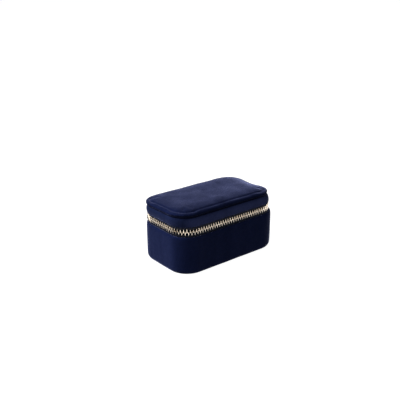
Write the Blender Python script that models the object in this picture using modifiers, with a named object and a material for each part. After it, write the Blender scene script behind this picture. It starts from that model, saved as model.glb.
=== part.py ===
"""A zip-around earbuds case: a board box and lid in velvet, joined by a fabric hinge along the back.

Metres, +Z up. The origin is the middle of the underside. +X is the long way, and the hinge is at +Y.
A layer is placed by its inset, which is how far inside the case's plan outline its outer face is.
"""

import math

import bmesh
import bpy
import numpy as np
from mathutils import Matrix, Vector

MM = 0.001

# Driving dimensions
LENGTH = 105 * MM
WIDTH = 61 * MM
CORNER_RADIUS = 18 * MM
ZIP_HEIGHT = 37 * MM  # middle of the zip above the underside
GAP = 0.3 * MM  # between pieces that touch

# Layers of the wall, from the outside in. The lid's velvet isn't padded, so the lid stands in from the base
VELVET = 1.8 * MM
LID_VELVET = 0.6 * MM
LID_INSET = VELVET - LID_VELVET
TAPE = 0.5 * MM
BOARD = 1.4 * MM
LINING = 0.7 * MM
TAPE_INSET = VELVET + GAP
BOARD_INSET = TAPE_INSET + TAPE + GAP
LINING_INSET = BOARD_INSET + BOARD + GAP
CAVITY_INSET = LINING_INSET + LINING

# Base
EDGE_TO_ZIP = 4.5 * MM  # from the middle of the zip to the edge of each wall
WALL_TOP = ZIP_HEIGHT - EDGE_TO_ZIP
BOTTOM_EDGE_RADIUS = 4 * MM
BOTTOM_VELVET = 1 * MM
WALL_BOARD_BOTTOM = 2.6 * MM
FLOOR_PAD = 2 * MM
NEST_HEIGHT = 18 * MM
NEST_FLOOR = 2 * MM
NEST_RIM = 2 * MM  # thinnest wall round the wells
CASE_WELL_LENGTH = 63 * MM
WELL_GAP = 3.4 * MM  # wall between the two wells
WELL_RADIUS = 10 * MM

# Lid: the walls lean in above their shoulder, and each outline is (inset, height)
LID_BOTTOM = ZIP_HEIGHT + EDGE_TO_ZIP
LID_COVER_LEAN = [(LID_INSET, 45.3 * MM), (1.8 * MM, 47.0 * MM), (2.8 * MM, 48.5 * MM)]
LID_BOARD_LEAN = [(BOARD_INSET, 45.0 * MM), (3.5 * MM, 46.7 * MM), (4.6 * MM, 48.0 * MM)]
LID_LINING_LEAN = [(LINING_INSET, 43.4 * MM), (5.6 * MM, 46.0 * MM), (6.6 * MM, 47.0 * MM)]
PANEL_VELVET = 0.7 * MM
PANEL_CROWN = [
    (1.9 * MM, 48.9 * MM),
    (1.3 * MM, 49.5 * MM),
    (1.1 * MM, 50.3 * MM),
    (1.5 * MM, 51.1 * MM),
    (2.6 * MM, 51.8 * MM),
    (4.5 * MM, 52.3 * MM),
    (8.0 * MM, 52.75 * MM),
    (12.0 * MM, 53.0 * MM),
    (16.0 * MM, 53.1 * MM),
]
FOAM_CROWN = [
    (4.5 * MM, 49.6 * MM),
    (4.5 * MM, 51.0 * MM),
    (9.0 * MM, 51.75 * MM),
    (16.0 * MM, 52.05 * MM),
]
PANEL_BOARD = 0.8 * MM
PANEL_BOARD_INSET = 4 * MM
PANEL_BOARD_BOTTOM = 48.5 * MM
TOP_LINING_INSET = 6 * MM
TOP_LINING_BOTTOM = 47.5 * MM
POCKET_INSET = 7.8 * MM
POCKET_BOTTOM = 46.4 * MM
POCKET_SHEET = 0.6 * MM
POCKET_MOUTH = -8 * MM  # Y of the pocket's open edge
ELASTIC_WIDTH = 5 * MM
ELASTIC = 1 * MM

# Zip: places along it are given by where the outward normal points, in degrees from +X
CORNER_STEP = 10  # degrees between the points of a rounded corner
TAPE_END = 135  # the tape's left rear end
CHAIN_END = 142.5  # the last tooth there
STOP_PLACE = 138.5
TAPE_HEIGHT = 7 * MM
LID_TAPE_HEIGHT = 4.5 * MM
CHAIN_HALF_HEIGHT = 3 * MM
CHAIN_THICKNESS = 2.2 * MM
CHAIN_INSET = TAPE_INSET + TAPE / 2 - CHAIN_THICKNESS / 2
BEAD_HEIGHT = 1.2 * MM
TOOTH_PITCH = 2.5 * MM
TOOTH_WIDTH = 0.9 * MM
TOOTH_THICKNESS = 1.8 * MM
TOOTH_ROOT = 0.6 * MM  # how deep a tooth is set in its bead
TOOTH_PAST_MIDDLE = 1.2 * MM
STOP_WIDTH = 1.6 * MM
TOP_STOP_GAP = 0.4 * MM  # from the middle of the zip to each top stop
HINGE_SLACK = 4.2 * MM  # half the height of the fabric left free between the walls
HINGE_VELVET = 0.6 * MM
HINGE_INSETS = (0.4 * MM, LID_INSET)  # at the bottom and the top of that fabric

# Slider and pull, on the right face
SLIDER_Y = 9 * MM
SLIDER_LENGTH = 9 * MM
SLIDER_HALF_HEIGHT = 4.2 * MM
SLIDER_PLATE = 1 * MM
LIP_REACH = 1 * MM
LIP_HEIGHT = 0.9 * MM
POST_SIZE = 1.6 * MM
POST_OFFSET = 2.2 * MM  # behind the middle of the slider
BRIDGE_RADIUS = 0.5 * MM
BRIDGE_HALF_SPAN = 2.6 * MM
PULL_RISE = 1 * MM  # from the slider's plate to the pull's axis
PULL_LENGTH = 18 * MM
PULL_HALF_WIDTH = 2.4 * MM
PULL_THICKNESS = 1 * MM
PULL_EYE_LENGTH = 4.1 * MM
PULL_EYE_HALF_WIDTH = 1 * MM

HINGE_AXIS = Vector((0, WIDTH / 2 - (sum(HINGE_INSETS) + HINGE_VELVET) / 2, ZIP_HEIGHT))
SLIDER_GAP = CHAIN_THICKNESS + 2 * GAP  # between the slider's plates
SLIDER_PLACE = Vector((LENGTH / 2 - CHAIN_INSET + GAP, SLIDER_Y, ZIP_HEIGHT))  # inside of the outer plate
PULL_AXIS = SLIDER_PLACE + Vector((SLIDER_PLATE + PULL_RISE, 0, 0))
POST_PLACE = SLIDER_PLACE + Vector((-SLIDER_GAP / 2, POST_OFFSET, 0))

# How finely round things are made
SMOOTHEST_FOLD = 35  # degrees, above which an edge looks sharp
WELL_CORNER_STEPS = 6
EDGE_TURN_STEPS = 3
PULL_END_STEPS = 8
BRIDGE_ROUNDNESS = 2

# finish: (colour, roughness, metallic)
FINISHES = {
    "velvet": ((0.035, 0.045, 0.12), 0.9, 0.0),
    "lining": ((0.05, 0.06, 0.13), 0.85, 0.0),
    "satin": ((0.04, 0.05, 0.12), 0.5, 0.0),
    "elastic": ((0.02, 0.025, 0.06), 0.8, 0.0),
    "board": ((0.32, 0.30, 0.27), 0.9, 0.0),
    "foam": ((0.12, 0.12, 0.14), 0.95, 0.0),
    "tape": ((0.012, 0.015, 0.035), 0.9, 0.0),
    "gold": ((0.72, 0.58, 0.36), 0.3, 1.0),
}


def clear_scene():
    for thing in list(bpy.data.objects):
        bpy.data.objects.remove(thing)


def new_collection(name):
    collection = bpy.data.collections.new(name)
    bpy.context.scene.collection.children.link(collection)
    return collection


clear_scene()
PARTS = new_collection("earbuds_case")
CUTTERS = new_collection("cutters")
CUTTERS.hide_render = True


def new_material(name, finish):
    colour, roughness, metallic = FINISHES[finish]
    material = bpy.data.materials.new(name)
    material.use_nodes = True
    shader = material.node_tree.nodes["Principled BSDF"]
    shader.inputs["Base Color"].default_value = (*colour, 1)
    shader.inputs["Roughness"].default_value = roughness
    shader.inputs["Metallic"].default_value = metallic
    return material


def new_part(name, data, finish, location=(0, 0, 0)):
    part = bpy.data.objects.new(name, data)
    part.location = location
    data.materials.append(new_material(name, finish))
    PARTS.objects.link(part)
    return part


def new_helper(name, data, location=(0, 0, 0)):
    """A shape that only cuts a part or is joined to one."""
    helper = bpy.data.objects.new(name, data)
    helper.location = location
    helper.hide_render = True
    helper.display_type = "WIRE"
    CUTTERS.objects.link(helper)
    return helper


def new_axis(name, location):
    axis = bpy.data.objects.new(name, None)
    axis.location = location
    axis.empty_display_size = 10 * MM
    PARTS.objects.link(axis)
    return axis


def hang(parts, axis):
    """Parents the parts to an axis, and leaves them where they are."""
    for part in parts:
        part.parent = axis
        part.matrix_parent_inverse = Matrix.Translation(-axis.location)


def boolean(part, operation, helper):
    modifier = part.modifiers.new(helper.name, "BOOLEAN")
    modifier.operation = operation
    modifier.object = helper


# Shapes


def mirrored(facing):
    """The same place on the other side of the case, left for right."""
    return 540 - facing


def plan_outline(inset, first=0, last=360, step=CORNER_STEP):
    """(x, y, facing) points of the plan outline, anticlockwise, between two facings in degrees."""
    radius = CORNER_RADIUS - inset
    points = []
    for quarter in range(int(first // 90), math.ceil(last / 90)):
        begin, end = max(first, 90 * quarter), min(last, 90 * quarter + 90)
        centre_x = (LENGTH / 2 - CORNER_RADIUS) * (1, -1, -1, 1)[quarter % 4]
        centre_y = (WIDTH / 2 - CORNER_RADIUS) * (1, 1, -1, -1)[quarter % 4]
        for facing in np.linspace(begin, end, max(1, round((end - begin) / step)) + 1):
            angle = math.radians(facing)
            x = centre_x + radius * math.cos(angle)
            y = centre_y + radius * math.sin(angle)
            points.append((float(x), float(y), float(facing)))
    return points


def mesh_data(name, mesh):
    data = bpy.data.meshes.new(name)
    mesh.to_mesh(data)
    mesh.free()
    data.shade_smooth()
    data.set_sharp_from_angle(angle=math.radians(SMOOTHEST_FOLD))
    return data


def loft(name, profile, first=0, last=360, closed_bottom=False, closed_top=False):
    """A surface with a row round the plan outline at each (inset, height) of the profile, bottom first."""
    mesh = bmesh.new()
    rows = []
    for inset, height in profile:
        outline = plan_outline(inset, first, last)
        rows.append([mesh.verts.new((x, y, height)) for x, y, _ in outline])
    columns = len(rows[0])
    quads = columns if last - first == 360 else columns - 1
    for low, high in zip(rows, rows[1:]):
        for i in range(quads):
            j = (i + 1) % columns
            mesh.faces.new((low[i], low[j], high[j], high[i]))
    if closed_bottom:
        mesh.faces.new(reversed(rows[0]))
    if closed_top:
        mesh.faces.new(rows[-1])
    return mesh_data(name, mesh)


def layer(name, profile, thickness, finish, **limits):
    """A skin of even thickness, which grows inwards from the profile."""
    part = new_part(name, loft(name, profile, **limits), finish)
    solidify = part.modifiers.new("Thickness", "SOLIDIFY")
    solidify.thickness = thickness
    solidify.offset = -1
    solidify.use_even_offset = True
    return part


def band(name, inset, low, high, thickness, finish, **limits):
    return layer(name, [(inset, low), (inset, high)], thickness, finish, **limits)


def flat_curve(name, outlines, thickness):
    """The first outline filled, with the others as holes, and this thick about its own plane."""
    curve = bpy.data.curves.new(name, "CURVE")
    curve.dimensions = "2D"
    curve.fill_mode = "BOTH"
    curve.extrude = thickness / 2
    for outline in outlines:
        spline = curve.splines.new("POLY")
        spline.points.add(len(outline) - 1)
        for point, (x, y) in zip(spline.points, outline):
            point.co = (x, y, 0, 1)
        spline.use_cyclic_u = True
    return curve


def plate(name, inset, low, thickness, finish):
    """A flat layer with the plan outline, standing on the height low."""
    outline = [(x, y) for x, y, _ in plan_outline(inset)]
    curve = flat_curve(name, [outline], thickness)
    return new_part(name, curve, finish, (0, 0, low + thickness / 2))


def block(name, size, corner=0.0):
    """A box about its own middle, whose upright edges may be rounded."""
    mesh = bmesh.new()
    bmesh.ops.create_cube(mesh, size=1)
    bmesh.ops.scale(mesh, vec=size, verts=mesh.verts)
    if corner:
        upright = [edge for edge in mesh.edges if edge.verts[0].co.xy == edge.verts[1].co.xy]
        bmesh.ops.bevel(
            mesh, geom=upright, offset=corner, segments=WELL_CORNER_STEPS, profile=0.5, affect="EDGES"
        )
    return mesh_data(name, mesh)


# Base


def make_base_shell():
    arc = np.linspace(0, math.pi / 2, EDGE_TURN_STEPS + 1)
    radius = BOTTOM_EDGE_RADIUS
    turned_edge = [(radius * (1 - math.sin(a)), radius * (1 - math.cos(a))) for a in arc]
    layer("base_wall_cover", [*turned_edge, (0, WALL_TOP)], VELVET, "velvet")
    band("base_wall_board", BOARD_INSET, WALL_BOARD_BOTTOM, WALL_TOP, BOARD, "board")
    plate("base_bottom_cover", radius + GAP, 0, BOTTOM_VELVET, "velvet")


def make_base_floor():
    """The board, the pad, the lining and the nest, each standing on the last."""
    height = BOTTOM_VELVET + GAP
    plate("base_bottom_board", LINING_INSET, height, BOARD, "board")
    height += BOARD + GAP
    plate("base_floor_pad", LINING_INSET, height, FLOOR_PAD, "foam")
    height += FLOOR_PAD + GAP
    plate("base_floor_lining", CAVITY_INSET + GAP, height, LINING, "lining")
    band("base_wall_lining", LINING_INSET, height, WALL_TOP, LINING, "lining")
    height += LINING + GAP
    make_nest(height)


def make_nest(floor):
    """The padded block, with a well for the earbuds' charging case and one for tips and a cable."""
    inset = CAVITY_INSET + GAP
    profile = [(inset, floor), (inset, floor + NEST_HEIGHT)]
    solid = loft("earbud_nest", profile, closed_bottom=True, closed_top=True)
    nest = new_part("earbud_nest", solid, "foam")
    inner_length = LENGTH - 2 * (inset + NEST_RIM)
    inner_width = WIDTH - 2 * (inset + NEST_RIM)
    tips_well_length = inner_length - CASE_WELL_LENGTH - WELL_GAP
    left = -inner_length / 2
    for name, length in (("case_well", CASE_WELL_LENGTH), ("tips_well", tips_well_length)):
        place = (left + length / 2, 0, floor + NEST_FLOOR + NEST_HEIGHT / 2)
        well = new_helper(name, block(name, (length, inner_width, NEST_HEIGHT), WELL_RADIUS), place)
        boolean(nest, "DIFFERENCE", well)
        left += length + WELL_GAP


# Lid


def make_lid_shell():
    foam = loft("lid_top_foam", FOAM_CROWN, closed_bottom=True, closed_top=True)
    return [
        layer("lid_wall_cover", [(LID_INSET, LID_BOTTOM), *LID_COVER_LEAN], LID_VELVET, "velvet"),
        layer("lid_wall_board", [(BOARD_INSET, LID_BOTTOM), *LID_BOARD_LEAN], BOARD, "board"),
        layer("lid_wall_lining", [(LINING_INSET, LID_BOTTOM), *LID_LINING_LEAN], LINING, "lining"),
        layer("lid_top_cover", PANEL_CROWN, PANEL_VELVET, "velvet", closed_top=True),
        new_part("lid_top_foam", foam, "foam"),
        plate("lid_top_board", PANEL_BOARD_INSET, PANEL_BOARD_BOTTOM, PANEL_BOARD, "board"),
        plate("lid_top_lining", TOP_LINING_INSET, TOP_LINING_BOTTOM, LINING, "lining"),
    ]


def make_lid_pocket():
    """A flat slip pocket under the lid: sewn at the back and sides, and open at its elastic front edge."""
    side = LENGTH / 2 - POCKET_INSET
    rear_half = [(x, y) for x, y, _ in plan_outline(POCKET_INSET, 0, 180)]
    outline = [*rear_half, (-side, POCKET_MOUTH), (side, POCKET_MOUTH)]
    middle = POCKET_BOTTOM + POCKET_SHEET / 2
    sheet = flat_curve("lid_pocket", [outline], POCKET_SHEET)
    pocket = new_part("lid_pocket", sheet, "satin", (0, 0, middle))
    elastic = new_part(
        "pocket_elastic",
        block("pocket_elastic", (2 * side, ELASTIC_WIDTH, ELASTIC)),
        "elastic",
        (0, POCKET_MOUTH - GAP - ELASTIC_WIDTH / 2, middle),
    )
    return [pocket, elastic]


# Zip


def make_tape(name, low, high):
    return band(name, TAPE_INSET, low, high, TAPE, "tape", first=TAPE_END, last=mirrored(TAPE_END))


def chain_places():
    """(x, y, facing) every half pitch along the middle of the chain."""
    samples = plan_outline(CHAIN_INSET + CHAIN_THICKNESS / 2, CHAIN_END, mirrored(CHAIN_END), step=1)
    x, y, facing = np.array(samples).T
    along = np.concatenate([[0], np.cumsum(np.hypot(np.diff(x), np.diff(y)))])
    wanted = np.arange(TOOTH_PITCH / 2, along[-1] - TOOTH_PITCH / 4, TOOTH_PITCH / 2)
    return [tuple(float(np.interp(s, along, values)) for values in (x, y, facing)) for s in wanted]


def make_tooth_row(side, places):
    """A bead along the tape's edge with a tooth at each place. side is 1 for the lid and -1 for the base."""
    name = "zip_teeth_upper" if side > 0 else "zip_teeth_lower"
    ends = sorted(ZIP_HEIGHT + side * (CHAIN_HALF_HEIGHT - rise) for rise in (0, BEAD_HEIGHT))
    limits = {"first": CHAIN_END, "last": mirrored(CHAIN_END)}
    row = band(name, CHAIN_INSET, *ends, CHAIN_THICKNESS, "gold", **limits)
    root = side * (CHAIN_HALF_HEIGHT - BEAD_HEIGHT + TOOTH_ROOT)
    tip = -side * TOOTH_PAST_MIDDLE
    teeth = bmesh.new()
    for x, y, facing in places:
        place = Matrix.Translation((x, y, ZIP_HEIGHT + (root + tip) / 2)) @ Matrix.Rotation(
            math.radians(facing), 4, "Z"
        )
        size = Matrix.Diagonal((TOOTH_THICKNESS, TOOTH_WIDTH, abs(root - tip), 1))
        bmesh.ops.create_cube(teeth, size=1, matrix=place @ size)
    boolean(row, "UNION", new_helper(name + "_only", mesh_data(name + "_only", teeth)))
    return row


def clears_post(place):
    return (Vector(place[:2]) - POST_PLACE.xy).length > POST_SIZE / 2 + TOOTH_WIDTH / 2 + 2 * GAP


def stop(name, facing, low, high):
    """A metal stop clamped over the zip between two heights about its middle."""
    x, y, _ = plan_outline(CHAIN_INSET + CHAIN_THICKNESS / 2, facing, facing + 1)[0]
    data = block(name, (CHAIN_THICKNESS, STOP_WIDTH, high - low))
    part = new_part(name, data, "gold", (x, y, ZIP_HEIGHT + (low + high) / 2))
    part.rotation_euler.z = math.radians(facing)
    return part


def make_zip():
    """Both sides of the zip. Returns the pieces that ride on the lid."""
    places = chain_places()
    lower = [place for place in places[0::2] if clears_post(place)]
    upper = [place for place in places[1::2] if clears_post(place)]
    chain_edge = CHAIN_HALF_HEIGHT + GAP
    make_tape("zip_tape_lower", ZIP_HEIGHT - chain_edge - TAPE_HEIGHT, ZIP_HEIGHT - chain_edge)
    make_tooth_row(-1, lower)
    stop("zip_bottom_stop", STOP_PLACE, -CHAIN_HALF_HEIGHT, CHAIN_HALF_HEIGHT)
    far_end = mirrored(STOP_PLACE)
    stop("zip_top_stop_lower", far_end, -CHAIN_HALF_HEIGHT, -TOP_STOP_GAP)
    return [
        make_tape("zip_tape_upper", ZIP_HEIGHT + chain_edge, ZIP_HEIGHT + chain_edge + LID_TAPE_HEIGHT),
        make_tooth_row(1, upper),
        stop("zip_top_stop_upper", far_end, TOP_STOP_GAP, CHAIN_HALF_HEIGHT),
    ]


def make_hinge():
    """The velvet and the lining that cross the gap between the walls along the back, where the zip stops."""
    low, high = ZIP_HEIGHT - HINGE_SLACK, ZIP_HEIGHT + HINGE_SLACK
    limits = {"first": mirrored(TAPE_END) - 360, "last": TAPE_END}
    layer("hinge_strip", list(zip(HINGE_INSETS, (low, high))), HINGE_VELVET, "velvet", **limits)
    band("hinge_lining", LINING_INSET, low, high, LINING, "lining", **limits)


def make_slider():
    """Two lipped plates joined by a post, with the chain between them, and the wire bridge for the pull."""
    gap = SLIDER_GAP
    plate_size = (SLIDER_PLATE, SLIDER_LENGTH, 2 * SLIDER_HALF_HEIGHT)
    outer = SLIDER_PLACE + Vector((SLIDER_PLATE / 2, 0, 0))
    slider = new_part("slider_body", block("slider_body", plate_size), "gold", outer)
    inner = SLIDER_PLACE - Vector((gap + SLIDER_PLATE / 2, 0, 0))
    joined = [("slider_back_plate", plate_size, inner)]
    overlap = SLIDER_PLATE / 2
    post_size = (gap + 2 * overlap, POST_SIZE, POST_SIZE)
    joined.append(("slider_post", post_size, SLIDER_PLACE + Vector((-gap / 2, POST_OFFSET, 0))))
    lip_size = (LIP_REACH + overlap, SLIDER_LENGTH, LIP_HEIGHT)
    for side in (-1, 1):
        lip_height = side * (SLIDER_HALF_HEIGHT - LIP_HEIGHT / 2)
        front_lip = Vector(((overlap - LIP_REACH) / 2, 0, lip_height))
        back_lip = Vector((-gap + (LIP_REACH - overlap) / 2, 0, lip_height))
        joined.append((f"slider_front_lip_{side}", lip_size, SLIDER_PLACE + front_lip))
        joined.append((f"slider_back_lip_{side}", lip_size, SLIDER_PLACE + back_lip))
    for name, size, place in joined:
        boolean(slider, "UNION", new_helper(name, block(name, size), place))
    return [slider, make_bridge()]


def make_bridge():
    curve = bpy.data.curves.new("slider_bridge", "CURVE")
    curve.dimensions = "3D"
    curve.bevel_depth = BRIDGE_RADIUS
    curve.bevel_resolution = BRIDGE_ROUNDNESS
    curve.use_fill_caps = True
    foot = SLIDER_PLATE + GAP
    crown = SLIDER_PLATE + 2 * PULL_RISE + BRIDGE_RADIUS
    shoulder = crown - BRIDGE_RADIUS
    span, top_span = BRIDGE_HALF_SPAN, BRIDGE_HALF_SPAN - BRIDGE_RADIUS
    half_route = [(foot, span), (shoulder, span), (crown, top_span)]
    route = half_route + [(x, -y) for x, y in reversed(half_route)]
    spline = curve.splines.new("POLY")
    spline.points.add(len(route) - 1)
    for point, (x, y) in zip(spline.points, route):
        point.co = (x, y, 0, 1)
    return new_part("slider_bridge", curve, "gold", SLIDER_PLACE)


def make_pull():
    """A tab with an eye round the bridge. Its end bar is the axis that it turns on."""
    half_bar = PULL_THICKNESS / 2
    end_centre = PULL_LENGTH - PULL_HALF_WIDTH
    outline = [(half_bar, -PULL_HALF_WIDTH), (half_bar, PULL_HALF_WIDTH)]
    for turn in np.linspace(math.pi / 2, 3 * math.pi / 2, PULL_END_STEPS + 1):
        outline.append((PULL_HALF_WIDTH * math.cos(turn) - end_centre, PULL_HALF_WIDTH * math.sin(turn)))
    near, far, side = -half_bar, -PULL_EYE_LENGTH, PULL_EYE_HALF_WIDTH
    eye = [(near, -side), (far, -side), (far, side), (near, side)]
    curve = flat_curve("pull_tab", [outline, eye], PULL_THICKNESS)
    pull = new_part("pull_tab", curve, "gold", PULL_AXIS)
    pull.rotation_euler = (math.radians(90), 0, math.radians(90))
    return pull


def main():
    make_base_shell()
    make_base_floor()
    make_hinge()
    hinge = new_axis("lid_hinge_axis", HINGE_AXIS)
    hang(make_lid_shell() + make_lid_pocket() + make_zip(), hinge)
    slider_axis = new_axis("slider_run_axis", SLIDER_PLACE)
    hang([*make_slider(), make_pull()], slider_axis)


main()
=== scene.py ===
"""Looks of a zip-around earbuds case: velvet, zip, linings and studio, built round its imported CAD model.

Metres, in the CAD model's frame: +Z up, the hinge at +Y, the slider on the right face at +X.
A point of the case is placed by its station, which is a point along the plan outline, by its inset, which
is how far inside that outline it is, and by its height. Sections are lists of (inset, height) in mm.
"""

import math

import bmesh
import bpy
import numpy as np
from mathutils import Matrix, Vector, noise


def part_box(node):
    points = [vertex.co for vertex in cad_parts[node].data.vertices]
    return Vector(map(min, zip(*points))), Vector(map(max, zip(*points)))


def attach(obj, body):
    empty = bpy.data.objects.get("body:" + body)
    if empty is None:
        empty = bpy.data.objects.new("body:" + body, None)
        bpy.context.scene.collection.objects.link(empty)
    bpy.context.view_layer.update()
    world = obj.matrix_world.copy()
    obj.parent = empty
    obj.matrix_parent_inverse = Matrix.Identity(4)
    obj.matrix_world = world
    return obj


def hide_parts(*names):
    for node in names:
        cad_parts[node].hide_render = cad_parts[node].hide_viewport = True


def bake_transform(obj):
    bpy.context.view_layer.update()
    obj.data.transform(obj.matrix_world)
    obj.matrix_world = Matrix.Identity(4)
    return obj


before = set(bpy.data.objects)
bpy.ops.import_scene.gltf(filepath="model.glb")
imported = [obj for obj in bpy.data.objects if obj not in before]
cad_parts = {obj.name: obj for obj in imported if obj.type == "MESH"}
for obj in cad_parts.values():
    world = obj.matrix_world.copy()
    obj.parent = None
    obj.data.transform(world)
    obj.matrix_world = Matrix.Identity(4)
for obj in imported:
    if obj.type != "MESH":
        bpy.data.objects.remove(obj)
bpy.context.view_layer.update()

MM = 0.001
CORNER_RADIUS = 18 * MM
BOTTOM_EDGE_RADIUS = 4.0  # mm, as sections are
STATION_SPACING = 1.1 * MM

base_low, base_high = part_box("base_wall_cover")
LENGTH = base_high.x - base_low.x
WIDTH = base_high.y - base_low.y
lower_teeth_low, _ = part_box("zip_teeth_lower")
_, upper_teeth_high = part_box("zip_teeth_upper")
ZIP_HEIGHT = (lower_teeth_low.z + upper_teeth_high.z) / 2

# Along the zip, as outward directions in degrees from +X
TAPE_ENDS = (135, 405)
CHAIN_ENDS = (142.5, 397.5)
HINGE_ENDS = (45, 135)

# The soft case has settled to its left
ZIP_SHIFT = -0.7  # mm along X
LEAN = [(32.5, 0.0), (34.0, ZIP_SHIFT), (40.0, ZIP_SHIFT), (50.5, -2.5)]  # (height, shift along X) in mm
RIM_SLOPE = (-0.007, -0.030)  # rise of the rim per metre along X and Y
DENT = (0.053, -0.001)  # where the rim sags at its right end
DENT_DEPTH, DENT_REACH = 1.6 * MM, 13 * MM
LEAN_START, LEAN_END = 41 * MM, 50.5 * MM  # heights between which the lid takes up the slope


# Plan outline


def stations(first=0.0, last=360.0, spacing=STATION_SPACING):
    """Rows of (x, y, outward direction in radians), anticlockwise, between these directions in degrees.

    x and y are of the corner's centre, or of the straight's core, CORNER_RADIUS inside the outline."""
    half_x, half_y = LENGTH / 2 - CORNER_RADIUS, WIDTH / 2 - CORNER_RADIUS
    cores = np.array([(half_x, half_y), (-half_x, half_y), (-half_x, -half_y), (half_x, -half_y)])
    closed = last - first == 360
    found = []
    for quarter in range(int(first // 90), math.ceil(last / 90)):
        here, after = cores[quarter % 4], cores[(quarter + 1) % 4]
        begin, end = max(first, 90 * quarter), min(last, 90 * quarter + 90)
        turns = max(2, round(math.radians(end - begin) * CORNER_RADIUS / spacing))
        found += [(*here, math.radians(angle)) for angle in np.linspace(begin, end, turns + 1)]
        if end == 90 * quarter + 90 and (end < last or closed):
            steps = max(2, round(float(np.linalg.norm(after - here)) / spacing))
            found += [(*(here + (after - here) * i / steps), math.radians(end)) for i in range(1, steps)]
    return np.array(found)


def outward(where):
    return np.stack([np.cos(where[:, 2]), np.sin(where[:, 2])], axis=1)


def placed(where, inset, height):
    """Points at these stations, as an array of (x, y, z)."""
    flat = where[:, :2] + (CORNER_RADIUS - np.broadcast_to(inset, len(where)))[:, None] * outward(where)
    return np.column_stack([flat, np.broadcast_to(height, len(where))])


def distances(points):
    """How far each point is from the first, along the points."""
    return np.concatenate([[0], np.cumsum(np.linalg.norm(np.diff(points, axis=0), axis=1))])


def leaned(points):
    """The points with the lid's lean: the whole zip stands a little to the left, and the rim further."""
    heights, shifts = np.array(LEAN).T * MM
    moved = np.array(points, float)
    rise = np.interp(moved[:, 2], [LEAN_START, LEAN_END], [0, 1])
    from_dent = np.linalg.norm(moved[:, :2] - DENT, axis=1) / DENT_REACH
    lift = rise * (moved[:, :2] @ RIM_SLOPE - DENT_DEPTH * np.exp(-(from_dent**2)))
    moved[:, 0] += np.interp(moved[:, 2], heights, shifts)
    moved[:, 2] += lift
    return moved


# Meshes


def new_piece(name, mesh, material, lean=False):
    """An object from a bmesh, smooth, with its normals outward."""
    bmesh.ops.recalc_face_normals(mesh, faces=mesh.faces)
    data = bpy.data.meshes.new(name)
    mesh.to_mesh(data)
    mesh.free()
    return dressed(name, data, material, lean)


def vertex_rows(data, kind="co"):
    """The places of the mesh data's vertices, or their normals, as rows."""
    values = np.empty(len(data.vertices) * 3)
    data.vertices.foreach_get(kind, values)
    return values.reshape(-1, 3)


def dressed(name, data, material, lean=False, sharp=50):
    """An object from mesh data, with edges over sharp degrees kept sharp."""
    if lean:
        data.vertices.foreach_set("co", leaned(vertex_rows(data)).ravel())
    data.shade_smooth()
    data.set_sharp_from_angle(angle=math.radians(sharp))
    data.materials.clear()
    data.materials.append(material)
    piece = bpy.data.objects.new(name, data)
    bpy.context.scene.collection.objects.link(piece)
    return piece


def joined(mesh, rings, closed=False):
    """Faces from each ring of vertices to the next, and over both ends of a run that isn't closed."""
    count = len(rings[0])
    for here, after in zip(rings, [*rings[1:], rings[0]] if closed else rings[1:]):
        for k in range(count):
            n = (k + 1) % count
            mesh.faces.new((here[k], after[k], after[n], here[n]))
    if not closed:
        mesh.faces.new(rings[0])
        mesh.faces.new(reversed(rings[-1]))


def block(mesh, centre, size):
    """Adds a cuboid to the mesh."""
    place = Matrix.Translation(centre) @ Matrix.Diagonal((*size, 1))
    bmesh.ops.create_cube(mesh, size=1, matrix=place)


def softened(section):
    """A closed section with its corners cut, so that it looks like folded cloth."""
    points = np.array(section, float)
    after = np.roll(points, -1, axis=0)
    return np.stack([0.75 * points + 0.25 * after, 0.25 * points + 0.75 * after], axis=1).reshape(-1, 2)


def wrinkle(points, size, seed=0.0):
    """Smooth noise from -1 to 1 at each point, with lumps of this size."""
    offset = Vector((seed, seed, seed))
    return np.array([noise.noise(Vector(p) / size + offset) for p in points])


EDGE_REACH = 1.6  # mm in from a sewn edge that puckers
PUCKER_SIZE = 2.2 * MM


def swept(name, where, section, material, lean=False, closed=True, uneven=0.0, lump=9 * MM, pucker=0.0):
    """A closed section in mm carried along the stations. uneven is how far its surface wanders in and out.

    pucker is the same along the upper and lower edges only, in the short waves of a sewn edge."""
    mesh = bmesh.new()
    rows = [placed(where, inset * MM, height * MM) for inset, height in section]
    grid = np.stack(rows, axis=1)
    count, width = grid.shape[:2]
    flat = grid.reshape(-1, 3)
    push = uneven * wrinkle(flat, lump)
    if pucker:
        low, high = section[:, 1].min(), section[:, 1].max()
        from_edge = np.minimum(section[:, 1] - low, high - section[:, 1])
        near_edge = np.exp(-((from_edge / EDGE_REACH) ** 2))
        waves = wrinkle(flat * [1, 1, 0.3], PUCKER_SIZE, seed=7.0).reshape(count, width)
        push = push + pucker * (waves * near_edge).ravel()
    facing = np.repeat(outward(where), width, axis=0)
    flat[:, :2] += facing * push[:, None]
    joined(mesh, [[mesh.verts.new(p) for p in row] for row in flat.reshape(count, width, 3)], closed)
    return new_piece(name, mesh, material, lean)


def plate_rings(profile, core_rings=5):
    """(inset, height) rows in metres from the lower edge up, continued inwards to the plan's middle line."""
    where = stations()
    rings = [placed(where, inset, height) for inset, height in profile]
    last = rings[-1]
    spine = np.clip(last[:, 0], -(LENGTH - WIDTH) / 2, (LENGTH - WIDTH) / 2)
    middle = np.column_stack([spine, np.zeros(len(last)), last[:, 2]])
    return rings, [last + (middle - last) * (k / core_rings) for k in range(1, core_rings + 1)]


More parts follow.
